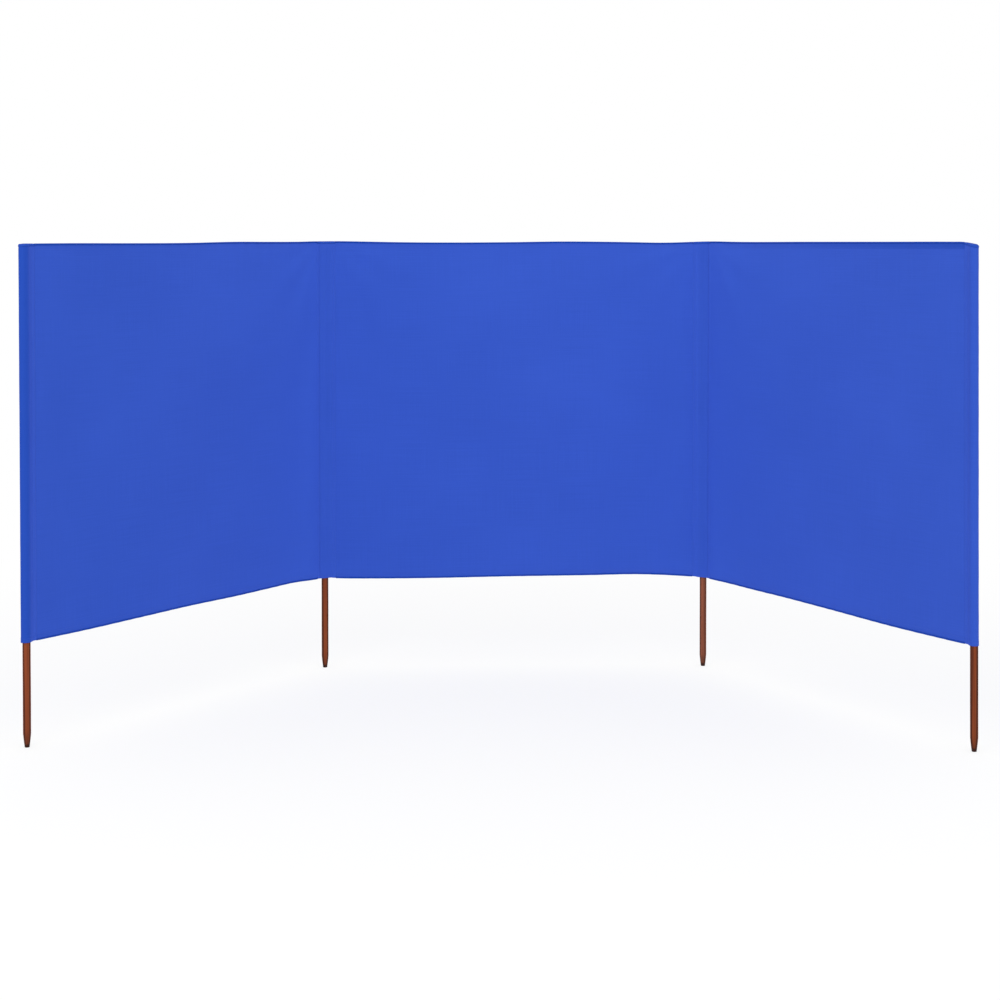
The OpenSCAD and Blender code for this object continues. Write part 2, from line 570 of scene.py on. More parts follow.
def line_at(knots, share):
    """A smooth line through the knots, in metres: cubic, by slopes at the knots."""
    at, height = np.array(knots, float).T
    slope = np.gradient(height, at)
    left = np.clip(np.searchsorted(at, share, "right") - 1, 0, len(at) - 2)
    width = at[left + 1] - at[left]
    part = np.clip((share - at[left]) / width, 0, 1)
    rise = part * part * (3 - 2 * part)
    line = height[left] * (1 - rise) + height[left + 1] * rise
    line = line + width * slope[left] * part * (1 - part) ** 2
    line = line - width * slope[left + 1] * part * part * (1 - part)
    return line / 1000


def edges_at(bay, u):
    """Heights of the bay's bottom and top edges at u along it."""
    share = np.asarray(u) / PITCH
    bottom = EDGE_BOTTOM + line_at(BOTTOM_LINE[bay.name], share)
    return bottom, EDGE_TOP + line_at(TOP_LINE[bay.name], share)


for bay in BAYS:
    print(bay.name, "top edge at its poles:", edges_at(bay, np.array([0, PITCH]))[1].round(4))

# %% The hang of each bay
Hang = namedtuple("Hang", "belly deepest swag")
HANG = {
    "left": Hang(belly=0.012, deepest=0.45, swag=0.0035),
    "middle": Hang(belly=0.020, deepest=0.62, swag=0.0035),
    "right": Hang(belly=0.010, deepest=0.40, swag=0.0030),
}
Pucker = namedtuple("Pucker", "rise pitch fade wander wander_pitch")
SEAM_PUCKER = Pucker(rise=0.0014, pitch=0.083, fade=0.05, wander=0.6, wander_pitch=0.31)
HEM_PUCKER = Pucker(rise=0.0007, pitch=0.052, fade=0.035, wander=0.9, wander_pitch=0.23)
SMILE_SAG = 0.20
SWAG_PITCH = 0.30
SWAG_WIDENS = 0.12
PULL_RISE = 0.0030
PULL_REACH = 0.16
PULLS_ROUND = 11
BROAD_RISE = 0.003
FREE_OVER = 0.06
CLOSEST = 1e-4


def pucker_at(pucker, along, away, wander_turn, turn):
    """Waves along a seam: a sine whose phase wanders, dying out away from the seam."""
    wander = pucker.wander * np.sin(2 * math.pi * along / pucker.wander_pitch + wander_turn)
    wave = pucker.rise * np.sin(2 * math.pi * along / pucker.pitch + wander + turn)
    return wave * np.exp(-away / pucker.fade)


def corner_pull(across, down, turn):
    """Folds that fan out of a top corner: a sine of the angle, rising and dying with distance."""
    across = np.clip(across, CLOSEST, None)
    down = np.clip(down, CLOSEST, None)
    far = np.hypot(across, down)
    fold = PULL_RISE * np.sin(PULLS_ROUND * np.arctan2(down, across) + turn)
    return fold * (far / PULL_REACH) * np.exp(-far / PULL_REACH)


def cloth_depth(bay, u, v):
    """How far the cloth stands out of the bay's plane, to the back, at u along and v up its cut.

    The sum of a belly, smile-shaped folds, pulls from the top corners, puckers at the seams and
    one broad wave, all let in smoothly from the held edges.
    """
    hang = HANG[bay.name]
    phase = np.random.default_rng(bay.seed).uniform(0, 2 * math.pi, 9)
    share = np.clip(u / PITCH, 0, 1)
    up = np.clip(v / CLOTH_H, 0, 1)
    off_seam = np.clip(np.minimum(u, PITCH - u) - SEAM_END, 0, None)
    off_edge = np.minimum(v, CLOTH_H - v)

    # The belly is deepest at its own share of the bay, and a third as deep at the top
    bow = np.sin(math.pi * share ** (math.log(0.5) / math.log(hang.deepest)))
    belly = hang.belly * bow * (0.35 + 0.65 * np.cos(0.5 * math.pi * up ** 1.4))

    # The smiles sag between the poles, spread out and grow stronger towards the top
    smile = CLOTH_H - v - SMILE_SAG * 4 * share * (1 - share)
    swag = hang.swag * np.sin(2 * math.pi * smile / (SWAG_PITCH + SWAG_WIDENS * up) + phase[0])
    swag = swag * (0.45 + 0.55 * up) * (0.6 + 0.4 * np.sin(2.3 * math.pi * share + phase[1]))

    pulls = corner_pull(u - SEAM_START, CLOTH_H - v, phase[2])
    pulls = pulls + corner_pull(PITCH - u - SEAM_START, CLOTH_H - v, phase[3])
    seam_pucker = pucker_at(SEAM_PUCKER, v, off_seam, phase[4], phase[5])
    hem_pucker = pucker_at(HEM_PUCKER, u, off_edge, phase[6], phase[7])
    broad = BROAD_RISE * np.sin(2.6 * math.pi * share + 1.3 * math.pi * up + phase[8])
    free = 1 - np.exp(-((off_seam / FREE_OVER) ** 2))
    return (belly + swag + pulls + seam_pucker + hem_pucker + broad) * free


def cloth_at(bay, u, v):
    """Points on the middle of the cloth, at u along the bay and v up its cut."""
    u, v = np.broadcast_arrays(np.asarray(u, float), np.asarray(v, float))
    bottom, top = edges_at(bay, u)
    return place(bay, u, cloth_depth(bay, u, v), bottom + (top - bottom) * v / CLOTH_H)


def cloth_back(bay, u, v, nudge=0.0005):
    """Unit normals of the cloth that point to the bay's back, from small steps either way."""
    along = cloth_at(bay, u + nudge, v) - cloth_at(bay, u - nudge, v)
    up = cloth_at(bay, u, v + nudge) - cloth_at(bay, u, v - nudge)
    normal = unit(np.cross(along, up))
    outward = np.array([*bay.back, 0.0])
    return normal * np.sign(normal @ outward)[..., None]


sample_u, sample_v = np.meshgrid(np.linspace(0, PITCH, 60), np.linspace(0, CLOTH_H, 60))
for bay in BAYS:
    depth = cloth_depth(bay, sample_u, sample_v) * 1000
    print(f"{bay.name} stands {depth.min():.1f} to {depth.max():.1f} mm out")

# %% [markdown]
# ## Panels
# The panel is one layer of cloth from seam to seam. The grid of points is finer along its top
# and bottom edges, where the hems roll it over, and the cut map carries its flat size in
# metres, so that the weave keeps its scale. Its blue isn't quite the same all over, and the
# `layers` value says where. Each bay gets a set amount of painted shade, the left wing
# most, for how the light falls on it. A hem that lies behind is painted in as a deeper band of
# painted shade, most of all towards the right wing's end. In the corners by the inner poles less
# light falls, yet in the photograph the cloth is as blue there as elsewhere, so it is painted a
# little paler there: painted light against the shade of the corner.

# %% The three panels
PANEL_T = 0.8 * CLOTH_T
FINE_ROWS = np.array([0, 0.8, 2, 4, 7, 10, 14, 18, 22, 28, 36, 46]) / 1000
EVEN_FROM = 0.058
even_rows = np.linspace(EVEN_FROM, CLOTH_H - EVEN_FROM, 84)
PANEL_ROWS = np.concatenate([FINE_ROWS, even_rows, CLOTH_H - FINE_ROWS[::-1]])
PANEL_COLUMNS = np.linspace(SEAM_START, PITCH - SEAM_START, 201)
# Painted shade of a hem behind: at the bottom, at the top by the first pole and by the second
HEM_PAINTED_SHADE = {"left": (0.03, 0.04, 0.04), "middle": (0.03, 0.04, 0.04), "right": (0.03, 0.05, 0.50)}
# How much paler the cloth is painted at its first and second pole, painted light against the
# corner's shade, and how fast that fades out
CORNER_PAINTED_LIGHT = {"left": (0.60, 0.0), "middle": (0.0, 0.22), "right": (0.50, 0.0)}
CORNER_POWER = 2.5
# Painted shade over each whole bay, most on the left wing, for how the light falls on it
BAY_PAINTED_SHADE = {"left": 0.12, "middle": 0.05, "right": 0.03}
HEM_BLUR = 0.001


def cloth_painted_shading(bay, u, v):
    """A set painted shade per bay, more where a hem lies behind, painted light in its corners."""
    bottom = 1 - smooth_step(v, HEM_W - HEM_BLUR, HEM_W + HEM_BLUR)
    top = 1 - smooth_step(CLOTH_H - v, HEM_W - HEM_BLUR, HEM_W + HEM_BLUR)
    share = np.clip(u / PITCH, 0, 1)
    at_bottom, top_first, top_second = HEM_PAINTED_SHADE[bay.name]
    hem = at_bottom * bottom + (top_first + (top_second - top_first) * share) * top
    first, second = CORNER_PAINTED_LIGHT[bay.name]
    corner = first * (1 - share) ** CORNER_POWER + second * share ** CORNER_POWER
    return BAY_PAINTED_SHADE[bay.name] - corner + hem


def panel_of(bay):
    """The bay's cloth as one closed sheet, held by the frame's panel."""
    u, v = np.meshgrid(PANEL_COLUMNS, PANEL_ROWS)
    cut = np.stack([u, v], axis=-1)
    sheet = closed_sheet(cloth_at(bay, u, v), PANEL_T, cut, cloth_painted_shading(bay, u, v))
    return sheet_piece(bay.name + "_panel_cloth", [sheet], cloth_finish)


for bay in BAYS:
    panel = panel_of(bay)
    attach(panel, bay.body)
    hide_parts(bay.name + "_panel")
    print(panel.name, len(panel.data.polygons), "faces")

# %% [markdown]
# ## Hems
# Along its top and bottom the cloth is folded over and sewn down. The fold is a small roll with
# a short lip in front and a wide band behind. It is a profile carried along the cloth's edge:
# each point of the profile says how far in from the edge it lies and how far off the cloth. A
# sliver of air stays between two layers, so that their faces never share a place.

# %% The six hems
HEM_T = 0.8 * CLOTH_T
HEM_LIP = 0.0042
LAYER_GAP = 0.0001
END_GAP = 0.0006
ROLL_IN = 0.0002
BAND_FROM = 0.003
BAND_POINTS = 8
PROFILE_STEP = 0.0022
# Painted shade: deep on the hem's front lip and roll, a little on the band behind
LIP_PAINTED_SHADE = 0.9
BAND_PAINTED_SHADE = 0.1
HEM_COLUMNS = np.linspace(SEAM_END + END_GAP, PITCH - SEAM_END - END_GAP, 241)


def hem_profile():
    """The hem's section: (in from the edge, off to the back), from the front lip over to the band.

    The lip lies in front, half a circle goes over the edge, and the band's end is tucked in.
    """
    off = (PANEL_T + HEM_T) / 2 + LAYER_GAP
    roll = np.linspace(-math.pi / 2, math.pi / 2, 9)
    lip = np.array([[HEM_LIP, -off], [HEM_LIP * 0.5, -off]])
    over = np.stack([-off * np.cos(roll) + ROLL_IN, off * np.sin(roll)], axis=-1)
    down = np.linspace(BAND_FROM, HEM_W, BAND_POINTS)
    band = np.stack([down, np.full(BAND_POINTS, off)], axis=-1)
    tucked = np.array([[HEM_W + END_GAP, off - ROLL_IN]])
    return np.concatenate([lip, over, band, tucked])


def hem_of(bay, edge):
    """A hem along the bay's top or bottom edge, as one closed sheet."""
    profile = hem_profile()
    inward, off = profile[:, :1], profile[:, 1:]
    u = np.broadcast_to(HEM_COLUMNS, (len(profile), len(HEM_COLUMNS)))
    inside = np.clip(inward, 0, None)
    v = np.broadcast_to(CLOTH_H - inside if edge == "top" else inside, u.shape)
    outward = 1.0 if edge == "top" else -1.0
    grid = cloth_at(bay, u, v) + cloth_back(bay, u, v) * off[..., None]
    grid[..., 2] += outward * np.clip(-inward, 0, None)
    around = np.linspace(0, PROFILE_STEP * len(profile), len(profile))[:, None]
    cut = np.stack([u, np.broadcast_to(around, u.shape)], axis=-1)
    shade = np.where(inward < HEM_LIP + LAYER_GAP, LIP_PAINTED_SHADE, BAND_PAINTED_SHADE)
    sheet = closed_sheet(grid, HEM_T, cut, shade)
    return sheet_piece(f"{bay.name}_{edge}_hem_fold", [sheet], hem_finish)


hems = {}
for bay in BAYS:
    hems[bay.name] = [hem_of(bay, edge) for edge in ("top", "bottom")]
    for hem, edge in zip(hems[bay.name], ("top", "bottom")):
        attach(hem, bay.body)
        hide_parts(f"{bay.name}_{edge}_hem")
    cut_size = (PITCH - 2 * SEAM_START, CLOTH_H)
print("hems:", sum(len(pair) for pair in hems.values()))

# %% [markdown]
# ## Sleeves
# A sleeve is a strip of cloth that goes round the pole and is sewn to the panel on both faces.
# Seen from above, its path runs in along the panel, leaves it at the seam, meets the pole at a
# tangent, goes round it and comes back the same way. At the inner poles there is one strip in
# front and one behind, each from the wing's panel to the middle one. The top is sewn shut: over
# the pole's end the two layers close in on the line of the panel, like the end of a pillow case.
# Both side edges are pressed thin, as an iron leaves a lap, so that they don't stand off the
# panel like a board.

# %% The path of a sleeve seen from above
SLEEVE_T = 0.75 * CLOTH_T
LAP_OFF = (PANEL_T + SLEEVE_T) / 2 + LAYER_GAP
PRESSED_TO = 0.3
PRESSED_OVER = 0.007
WRAP_R = POLE_R + (SLEEVE_R - POLE_R) * 0.9
LAP_POINTS = 25
ARC_POINTS = 60
DENSE_POINTS = 400
SOFTEN_OVER = 61


def turned(vector, angle):
    """A plan vector turned anticlockwise by an angle, which may be an array."""
    cos, sin = np.cos(angle), np.sin(angle)
    return np.stack([cos * vector[0] - sin * vector[1], sin * vector[0] + cos * vector[1]], axis=-1)


def pressed(inset):
    """Share of the strip's thickness at a distance in from its side edge, which is pressed flat."""
    return PRESSED_TO + (1 - PRESSED_TO) * smooth_step(inset, 0, PRESSED_OVER)


def run_of(points):
    """Distance along a path at each of its points."""
    return np.concatenate([[0], np.cumsum(np.linalg.norm(np.diff(points, axis=0), axis=1))])


def along_line(at, run, values):
    """Rows of values at places along a line, from the rows known at run, each column by itself."""
    return np.stack([np.interp(at, run, column) for column in values.T], axis=-1)


def even_path(points, count):
    """The same path with evenly spaced points."""
    run = run_of(points)
    return along_line(np.linspace(0, run[-1], count), run, points)


def soften(points, width):
    """A running mean along the path, with both ends kept."""
    kernel = np.hanning(width + 2)[1:-1]
    kernel = kernel / kernel.sum()
    half = width // 2
    padded = np.concatenate([
        2 * points[:1] - points[half:0:-1],
        points,
        2 * points[-1:] - points[-2:-half - 2:-1],
    ])
    return np.stack([np.convolve(column, kernel, "valid") for column in padded.T], axis=-1)


def wrap_path(start, sweep, count):
    """Points round the pole from a lap on the direction start, through sweep, to a lap on its end.

    Straight in along the lap, a tangent to the circle of the sleeve, the arc, and out again the
    same way. The corners are softened and the points are evenly spaced.
    """
    side = np.sign(sweep)
    reach = math.hypot(SEAM_START, LAP_OFF)
    touch = math.atan2(LAP_OFF, SEAM_START) + math.acos(WRAP_R / reach)
    arc_points = ARC_POINTS if abs(sweep) > 2 * touch else 0
    arc = np.linspace(touch, abs(sweep) - touch, arc_points)
    lap = np.linspace(SEAM_END, SEAM_START, LAP_POINTS)[:, None]
    off = side * ((PANEL_T + SLEEVE_T * pressed(SEAM_END - lap)) / 2 + LAYER_GAP)
    end = turned(start, sweep)
    first = lap * start + off * turned(start, math.pi / 2)
    last = lap[::-1] * end - off[::-1] * turned(end, math.pi / 2)
    corners = np.concatenate([first, WRAP_R * turned(start, side * arc), last])
    return even_path(soften(even_path(corners, DENSE_POINTS), SOFTEN_OVER), count)


print(f"sleeve radius {WRAP_R * 1000:.1f} mm, lap {SEAM_W * 1000:.0f} mm")

# %% [markdown]
# ### Up the pole
# The path is carried up the pole in rows. The mouth is level round the pole and follows the
# panel's hem further out, the wall stands slack or tight in turns, and the last rows close over
# the pole's end. Small creases run round the sleeve where it is loose.

# %% A sleeve's strip from its path
WALL_ROWS = np.concatenate([[0, 0.0008, 0.003, 0.006, 0.010, 0.014], np.linspace(0.022, 1, 92)])
ROOF_ROWS = np.linspace(0, 1, 9)[1:]
ROOF_H = 0.0065
ROOF_POWER = 2.6
RIDGE_SHARE = 0.55
LEVEL_TO = 0.018
HEM_FROM = 0.032
LAP_EASE = 0.004
EASE_SLACK = 0.02
WAVE_SLACK = 0.030
WAVE_PITCH = 0.21
WANDER_TURN = 1.2
WANDER_PITCH = 0.57
CREASE_SLACK = 0.020
CREASE_PITCH = 0.061
CREASE_TURN = 40
FLARE_SLACK = 0.05
FLARE_OVER = 0.02
MOUTH_HEM = 0.014
MOUTH_STEP = 0.0015


def sleeve_strip(axis, path, spine, reach, ends, mouth_z, droop, seed):
    """Rows of points up a sleeve: wall, then roof.

    path is the strip seen from above and spine the line that it closes on, both about the axis.
    reach is how far each point is from the axis along the spine, ends the heights of the panels'
    bottom and top edges there, mouth_z the mouth's at the axis, and droop how far the top sinks.
    The wall is the path, loosened by waves, creases and a flare at the mouth. The roof rounds
    off from the wall to the spine.
    """
    phase = np.random.default_rng(seed).uniform(0, 2 * math.pi, 3)
    bottom, top = ends
    near = 1 - smooth_step(reach, LEVEL_TO, HEM_FROM)
    mouth = bottom + (mouth_z - bottom) * near
    ridge = top - droop
    shoulder = ridge - ROOF_H
    wall_z = mouth + (shoulder - mouth) * WALL_ROWS[:, None]
    bend = 0.5 * math.pi * ROOF_ROWS[:, None]
    roof_z = shoulder + (ridge - shoulder) * np.sin(bend) ** (2 / ROOF_POWER)

    loose = np.linalg.norm(path - spine, axis=-1) / WRAP_R
    off_lap = smooth_step(reach, SEAM_END, SEAM_START - LAP_EASE)
    wander = WANDER_TURN * np.sin(2 * math.pi * wall_z / WANDER_PITCH + phase[1])
    wave = np.sin(2 * math.pi * wall_z / WAVE_PITCH + phase[0] + wander)
    crease = np.sin(2 * math.pi * wall_z / CREASE_PITCH + phase[2] + CREASE_TURN * reach)
    flare = FLARE_SLACK * np.exp(-((wall_z - mouth) / FLARE_OVER) ** 2)
    spare = WAVE_SLACK * wave + CREASE_SLACK * crease + EASE_SLACK + flare
    slack = 1 + spare * off_lap * loose
    wall = spine + (path - spine) * slack[..., None]

    close = (np.clip(np.cos(bend), 0, 1) ** (2 / ROOF_POWER))[..., None]
    half_ridge = unit(path - spine) * SLEEVE_T * RIDGE_SHARE
    roof = spine + half_ridge + (wall[-1] - spine - half_ridge) * close
    plan = np.concatenate([wall, roof])
    z = np.concatenate([wall_z, roof_z])
    return np.concatenate([axis + plan, z[..., None]], axis=-1)


def side_inset(run):
    """Distance of each column in from the strip's nearer side edge."""
    return np.minimum(np.abs(run - run[0]), np.abs(run[-1] - run))


def sleeve_thickness(run):
    """The mouth of a sleeve is turned up, so it is double there, and its side edges are pressed."""
    height = WALL_ROWS * (POLE_TOP - MOUTH_Z)
    double = 1 - smooth_step(height, MOUTH_HEM - MOUTH_STEP, MOUTH_HEM)
    rows = np.concatenate([1 + 0.8 * double, np.ones(len(ROOF_ROWS))])
    return SLEEVE_T * rows[:, None] * pressed(side_inset(run))


print(len(WALL_ROWS), "rows of wall and", len(ROOF_ROWS), "of roof")

# %% [markdown]
# ### End sleeves and inner sleeves
# At an end pole one strip goes all the way round. The left one is cut looser, so it stands off
# its pole on the far side, and both top corners droop a little. At an inner pole the front and
# back strips share a spine that bends with the corner. The inner strips hang between two bodies
# that turn on each other; the laps lie on their panels and the cloth between them goes round the
# pole. Over its pole each sleeve is painted a shade deeper: painted shade for the light that the
# double cloth and the dark wood keep from coming through.

# %% The two end sleeves
PATH_POINTS = 65
MIDDLE_POINT = PATH_POINTS // 2
PROBE_ROW = 40
CORNER_DROOP = {"left_end": 0.0012, "right_end": 0.0034}
LOOSE_END = {"left_end": 1.39, "right_end": 1.0}
# Painted shade over each pole, for the light that double cloth and dark wood keep back
SLEEVE_PAINTED_SHADE = {"left_end": 0.62, "left_inner": 0.08, "right_inner": 0.06, "right_end": 0.18}
SHADE_FULL = -0.004
SHADE_GONE = 0.014


def facing_out(strip, run, outward):
    """The strip with its normals out of the sleeve: where they point in, its columns swap sides."""
    normal = grid_normals(strip)[PROBE_ROW, MIDDLE_POINT, :2]
    if normal @ outward < 0:
        return strip[:, ::-1], run[::-1]
    return strip, run


def end_sleeve(pole, bay):
    """One strip round an end pole, from the front of its panel to the back."""
    inward = -bay.along
    turn_way = np.sign(inward[0] * bay.back[1] - inward[1] * bay.back[0])
    path = wrap_path(inward, -turn_way * 2 * math.pi, PATH_POINTS)
    beyond = np.clip(-(path @ inward), 0, None)
    path = path - (LOOSE_END[pole] - 1) * beyond[:, None] * inward
    reach = path @ inward
    spine = reach[:, None] * inward
    u = np.minimum(PITCH - reach, PITCH)
    droop = CORNER_DROOP[pole] * smooth_step(-reach, 0, WRAP_R)
    ends, mouth_z = edges_at(bay, u), edges_at(bay, PITCH)[0]
    inner_reach = np.clip(reach, 0, None)
    strip = sleeve_strip(
        AXIS[pole], path, spine, inner_reach, ends, mouth_z, droop, bay.seed + 1
    )
    strip[..., :2] += leaning(bay, np.broadcast_to(u, strip.shape[:2]), strip[..., 2])
    return facing_out(strip, run_of(path), bay.along)


def end_painted_shading(pole, bay, strip):
    """Painted shade over the pole, fading to the plain cloth where the strip has left it."""
    towards_panel = (AXIS[pole] - strip[0, :, :2]) @ bay.along
    over_pole = 1 - smooth_step(towards_panel, SHADE_FULL, SHADE_GONE)
    return np.broadcast_to(SLEEVE_PAINTED_SHADE[pole] * over_pole, strip.shape[:2])


def sleeve_sheet(strip, run, layers):
    """A closed sheet from a strip, cut by distance along its path and by height."""
    return closed_sheet(strip, sleeve_thickness(run), flat_map(strip, run), layers)


def flat_map(strip, run):
    """The strip's cut map: distance along its path, and height."""
    across = np.broadcast_to(run, strip.shape[:2])
    return np.stack([across, strip[..., 2]], axis=-1)


sleeves = {}
strips = {}
for pole, bay in END_BAY.items():
    strip, run = end_sleeve(pole, bay)
    sheet = sleeve_sheet(strip, run, end_painted_shading(pole, bay, strip))
    sleeves[pole] = sheet_piece(pole + "_sleeve_cloth", [sheet], cloth_finish)
    strips[pole] = [(strip, run)]
    print(sleeves[pole].name, "is cut", (np.ptp(run) * 1000).round(), "mm wide")

# %% The two inner sleeves
CORNER_ROUND = 0.006
ON_WING = (SEAM_END - 0.010, SEAM_END - 0.002)
ON_MIDDLE = (SEAM_START - 0.016, SEAM_START)
PLY_SEEDS = (4, 5)


def to_middle(pole):
    """The way along the middle bay from one of its two poles."""
    return MIDDLE.along if pole == "left_inner" else -MIDDLE.along


def on_middle_bay(pole, reach):
    """The place along the middle bay at a distance from one of its two poles."""
    return reach if pole == "left_inner" else PITCH - reach


def bent_spine(first, second, share):
    """The line of the cloth through a corner: in along first, rounded off, out along second."""
    far = SEAM_END * (1 - 2 * share)
    rounded = np.sqrt(far ** 2 + CORNER_ROUND ** 2)
    onto_first = 0.5 * (far + rounded)
    onto_second = 0.5 * (-far + rounded)
    return onto_first[:, None] * first + onto_second[:, None] * second


def inner_strip(pole, wing, sweep, seed):
    """A strip from the wing's panel round the pole by sweep to the middle panel.

    Its spine runs along both panels, so the laps take as much of it as they take of the seam.
    """
    path = wrap_path(wing.along, sweep, PATH_POINTS)
    run = run_of(path)
    on_run = SEAM_W / run[-1]
    on_spine = SEAM_W / (2 * SEAM_END)
    share = np.interp(run / run[-1], [0, on_run, 1 - on_run, 1], [0, on_spine, 1 - on_spine, 1])
    spine = bent_spine(wing.along, to_middle(pole), share)
    reach = SEAM_END * np.abs(1 - 2 * share)
    wing_ends = edges_at(wing, reach)
    middle_ends = edges_at(MIDDLE, on_middle_bay(pole, reach))
    ends = [np.where(share < 0.5, *pair) for pair in zip(wing_ends, middle_ends)]
    mouth_z = edges_at(wing, 0.0)[0]
    strip = sleeve_strip(AXIS[pole], path, spine, reach, ends, mouth_z, 0.0, wing.seed + seed)
    return facing_out(strip, run, path[MIDDLE_POINT])


def inner_sleeve(pole, wing):
    """Front and back strips of an inner pole: the short way round the corner, and the long one."""
    start, end = wing.along, to_middle(pole)
    turn_way = np.sign(start[0] * end[1] - start[1] * end[0])
    corner = math.acos(np.clip(start @ end, -1, 1))
    sweeps = (turn_way * corner, -turn_way * (2 * math.pi - corner))
    return [inner_strip(pole, wing, sweep, seed) for sweep, seed in zip(sweeps, PLY_SEEDS)]


def inner_painted_shading(pole, wing, strip):
    """A strip's painted shading: painted shade over the pole, going over to each panel's own where
    it lies on it, with the panel's painted light in the corner.

    It lies down on the wing only at the end of its lap, and on the middle panel sooner.
    """
    plan = strip[0, :, :2] - AXIS[pole]
    wing_tone = cloth_painted_shading(wing, SEAM_END, CLOTH_H / 2)
    middle_tone = cloth_painted_shading(MIDDLE, on_middle_bay(pole, SEAM_END), CLOTH_H / 2)
    on_wing = smooth_step(plan @ wing.along, *ON_WING)
    on_middle = smooth_step(plan @ to_middle(pole), *ON_MIDDLE)
    layers = SLEEVE_PAINTED_SHADE[pole] * (1 - on_wing - on_middle)
    layers = layers + wing_tone * on_wing + middle_tone * on_middle
    return np.broadcast_to(layers, strip.shape[:2])


for pole, wing in INNER_WING.items():
    strips[pole] = inner_sleeve(pole, wing)
    plies = [sleeve_sheet(*ply, inner_painted_shading(pole, wing, ply[0])) for ply in strips[pole]]
    sleeves[pole] = sheet_piece(pole + "_sleeve_cloth", plies, cloth_finish)
    widths = [(np.ptp(run) * 1000).round() for _, run in strips[pole]]
    print(sleeves[pole].name, "has plies of", widths, "mm")

# %% [markdown]
# ## Caps
# The closed top of each sleeve is bound with a folded tape, in line with the top hem. It is the
# sleeve's own top rows once more, one layer further out. Sleeve, tape and thread are all placed
# in the same way, so one helper says how: an end pole's pieces ride on the wing, and an inner
# pole's are baked in place where they are made.

# %% The four caps
CAP_T = 0.75 * CLOTH_T
CAP_ROWS = len(ROOF_ROWS) + 1
# Painted shade on the tape, in line with the hem's deep front lip
CAP_PAINTED_SHADE = 0.6


def follow(piece, pole):
    """Rides a piece on an end pole's wing, or bakes an inner pole's piece in place."""
    if pole in END_BAY:
        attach(piece, END_BAY[pole].body)
    else:
        wing = INNER_WING[pole]
        start = (*(AXIS[pole] + SEAM_START * to_middle(pole)), MOUTH_Z)
        end = (*(AXIS[pole] + SEAM_START * wing.along), MOUTH_Z)
        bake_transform(piece)


def cap_sheet(strip, run):
    """The top rows of a strip, moved out by one layer, as a closed sheet."""
    top = strip[-CAP_ROWS:]
    lifted = top + grid_normals(top) * ((SLEEVE_T + CAP_T) / 2 + LAYER_GAP)
    return closed_sheet(lifted, CAP_T, flat_map(lifted, run), CAP_PAINTED_SHADE)


for pole in POLES:
    cap_plies = [cap_sheet(*ply) for ply in strips[pole]]
    cap = sheet_piece(pole + "_cap_tape", cap_plies, hem_finish)
    follow(cap, pole)
    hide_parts(pole + "_cap")
    follow(sleeves[pole], pole)
    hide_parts(pole + "_sleeve")
    pole + "_pole_wood"
    print(cap.name, len(cap.data.polygons), "faces")

# %% [markdown]
# ## Poles
# The poles are turned dowels with a tapered tip, cut flat at its end. A profile is carried round
# the pole's axis. Real dowels aren't perfectly round, so the radius wavers by a tenth of a
# millimetre, and the shoulder of the taper is softened as sanding leaves it. The right end pole
# stops a little short of its drooping corner. Dark runs go along the wood: on each pole the
# photograph shows a paler face between two dark runs. These two are painted shade, where the
# round pole turns from the light; the other runs are staining. A `LitFace` says which way that
# face looks, how far to its left and right the runs lie and how wide they are, all in radians.

# %% The profile and the stain of a pole
TIP_LEN = 0.040
TIP_R = 0.0075
TIP_EDGE = 0.0006
TOP_ROUND_H = 0.0075
TOP_ROUND_IN = 0.0085
TAPER_RINGS = 14
SHANK_RINGS = 60
TOP_RINGS = 7
SHANK_FROM = TIP_LEN + 0.012
SHANK_SHORT = 0.010
POLE_SIDES = 48
SHORT_OF_TOP = {"right_end": 0.0042}
FADED = {"left_end": 0.05, "left_inner": 0.0, "right_inner": 0.8, "right_end": 0.0}
LitFace = namedtuple("LitFace", "turn left right width")
# Each pole's lit face, between two runs of painted shade where the pole turns from the light
LIT_FACES = {
    "left_end": LitFace(-1.35, 0.84, 0.86, 0.25),
    "left_inner": LitFace(-1.50, 0.78, 0.95, 0.42),
    "right_inner": LitFace(-1.69, 1.00, 0.72, 0.22),
    "right_end": LitFace(-1.83, 0.82, 0.76, 0.31),
}


def pole_profile(top):
    """Radius and height from the tip's flat end to the top: end, taper, shank, rounded end."""
    taper = np.linspace(0, 1, TAPER_RINGS)[1:]
    tip_z = np.concatenate([[0, TIP_EDGE], taper * TIP_LEN + TIP_EDGE])
    share = np.clip((tip_z - TIP_EDGE) / TIP_LEN, 0, 1)
    tip_r = TIP_R + (POLE_R - TIP_R) * (share + 0.05 * np.sin(math.pi * share) ** 2)
    tip_r[0] = TIP_R - TIP_EDGE
    shank_z = np.linspace(SHANK_FROM, top - SHANK_SHORT, SHANK_RINGS)
    bend = np.linspace(0, math.pi / 2, TOP_RINGS)
    top_z = top - TOP_ROUND_H * (1 - np.sin(bend))
    top_r = POLE_R - TOP_ROUND_IN * (1 - np.cos(bend))
    radius = np.concatenate([tip_r, np.full(SHANK_RINGS, POLE_R), top_r])
    return radius, np.concatenate([tip_z, shank_z, top_z])


